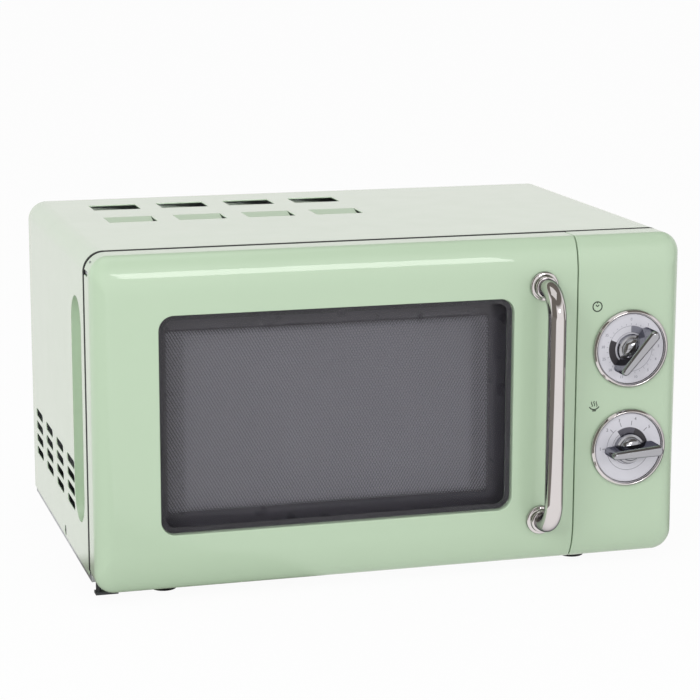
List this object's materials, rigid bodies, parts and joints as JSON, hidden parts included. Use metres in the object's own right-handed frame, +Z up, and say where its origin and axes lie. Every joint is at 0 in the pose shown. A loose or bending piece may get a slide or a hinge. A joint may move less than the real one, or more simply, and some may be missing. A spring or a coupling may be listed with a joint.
{
  "type": "microwave oven",
  "caption": "Free-standing countertop microwave oven with a side-hinged window door, a bar handle, mechanical dials and a glass turntable.",
  "frame": {"origin": "bottom centre of the whole part's box, on the surface that the feet stand on", "axes": "+X to the right seen from the front, -Y out of the door, +Z up"},
  "size_m": [0.452, 0.3432, 0.2582],
  "materials": {
    "green_paint": "gloss",
    "green_plastic": "gloss",
    "chrome": "polished",
    "zinc_sheet": "satin",
    "grey_enamel": "satin",
    "black_enamel": "satin",
    "black_plastic": "matt",
    "white_plastic": "satin",
    "dial_face": "printed",
    "window_glass": "polished, printed border",
    "clear_glass": "polished",
    "clear_film": "clear",
    "dark_steel": "dull",
    "aluminium": "satin",
    "copper": "enamelled wire",
    "brass": "satin",
    "rubber": "matt",
    "circuit_board": "matt",
    "mica": "satin"
  },
  "bodies": {
    "casing": {"outer_cabinet": "green_paint", "base_plate": "zinc_sheet", "cavity_box": "grey_enamel", "front_plate": "grey_enamel", "rear_panel": "zinc_sheet", "upper_hinge": "zinc_sheet", "lower_hinge": "dark_steel", "foot_front_left": "rubber", "foot_front_right": "rubber", "foot_back_left": "rubber", "foot_back_right": "rubber", "cord_bushing": "black_plastic", "control_panel": "green_plastic", "timer_unit": "white_plastic", "timer_bell": "brass", "timer_dial_ring": "chrome", "timer_dial_plate": "dial_face", "power_dial_ring": "chrome", "power_dial_plate": "dial_face", "interlock_body": "white_plastic", "microswitch_1": "black_plastic", "microswitch_2": "black_plastic", "microswitch_3": "black_plastic", "waveguide": "zinc_sheet", "mica_cover": "mica", "magnetron": "aluminium", "transformer_core": "dark_steel", "primary_winding": "copper", "secondary_winding": "copper", "capacitor": "aluminium", "hv_diode": "black_plastic", "filter_board": "circuit_board", "fuse": "white_plastic", "fan_shroud": "zinc_sheet", "fan_motor": "dark_steel", "oven_lamp": "clear_glass", "lamp_socket": "white_plastic", "thermal_cutout": "black_plastic", "turntable_motor": "zinc_sheet"},
    "door": {"door_frame": "green_plastic", "door_glass": "window_glass", "door_plate": "black_enamel", "choke_cover": "black_plastic", "door_inner_film": "clear_film", "latch_spring": "dark_steel", "handle_bar": "chrome", "handle_base_upper": "chrome", "handle_base_lower": "chrome"},
    "latch": {"latch_hooks": "white_plastic"},
    "timer_control": {"timer_knob": "chrome", "timer_shaft": "brass"},
    "power_control": {"power_knob": "chrome", "power_shaft": "brass"},
    "turntable": {"drive_coupler": "white_plastic"},
    "tray": {"glass_tray": "clear_glass"},
    "ring": {"roller_ring": "white_plastic"},
    "wheel_1": {"roller_wheel_1": "white_plastic"},
    "wheel_2": {"roller_wheel_2": "white_plastic"},
    "wheel_3": {"roller_wheel_3": "white_plastic"},
    "fan": {"fan_blade": "aluminium"}
  },
  "joints": [
    {"name": "door_hinge", "type": "hinge", "parent": "casing", "child": "door", "pos_m": [-0.2215, -0.1154, 0.13], "axis": [0, 0, -1], "range_deg": [0, 100]},
    {"name": "latch_slide", "type": "slide", "parent": "door", "child": "latch", "axis": [0, 0, 1], "range_m": [0, 0.004], "stiffness_N_per_m": 250, "springref_m": -0.004, "deforming": ["latch_spring"]},
    {"name": "timer_knob_turn", "type": "hinge", "parent": "casing", "child": "timer_control", "pos_m": [0.18465, -0.15, 0.1716], "axis": [0, 1, 0], "range_deg": [-41, 259]},
    {"name": "power_knob_turn", "type": "hinge", "parent": "casing", "child": "power_control", "pos_m": [0.18465, -0.15, 0.0946], "axis": [0, 1, 0], "range_deg": [-177, 0]},
    {"name": "turntable_spin", "type": "hinge", "parent": "casing", "child": "turntable", "pos_m": [-0.046, 0.03195, 0.042], "axis": [0, 0, 1], "continuous": true},
    {"name": "tray_lift", "type": "slide", "parent": "turntable", "child": "tray", "axis": [0, 0, 1], "range_m": [0, 0.06]},
    {"name": "ring_spin", "type": "hinge", "parent": "casing", "child": "ring", "pos_m": [-0.046, 0.03195, 0.0433], "axis": [0, 0, 1], "continuous": true},
    {"name": "wheel_1_spin", "type": "hinge", "parent": "ring", "child": "wheel_1", "pos_m": [0.02874, 0.0751, 0.0433], "axis": [0.866, 0.5, 0], "continuous": true},
    {"name": "wheel_2_spin", "type": "hinge", "parent": "ring", "child": "wheel_2", "pos_m": [-0.12074, 0.0751, 0.0433], "axis": [-0.866, 0.5, 0], "continuous": true},
    {"name": "wheel_3_spin", "type": "hinge", "parent": "ring", "child": "wheel_3", "pos_m": [-0.046, -0.05435, 0.0433], "axis": [0, -1, 0], "continuous": true},
    {"name": "fan_spin", "type": "hinge", "parent": "casing", "child": "fan", "pos_m": [0.165, 0.1465, 0.1], "axis": [0, 1, 0], "continuous": true}
  ],
  "couplings": [
    {"joint": "ring_spin", "follows": "turntable_spin", "ratio": 0.5},
    {"joint": "wheel_1_spin", "follows": "turntable_spin", "ratio": -5.3937},
    {"joint": "wheel_2_spin", "follows": "turntable_spin", "ratio": -5.3937},
    {"joint": "wheel_3_spin", "follows": "turntable_spin", "ratio": -5.3937}
  ]
}
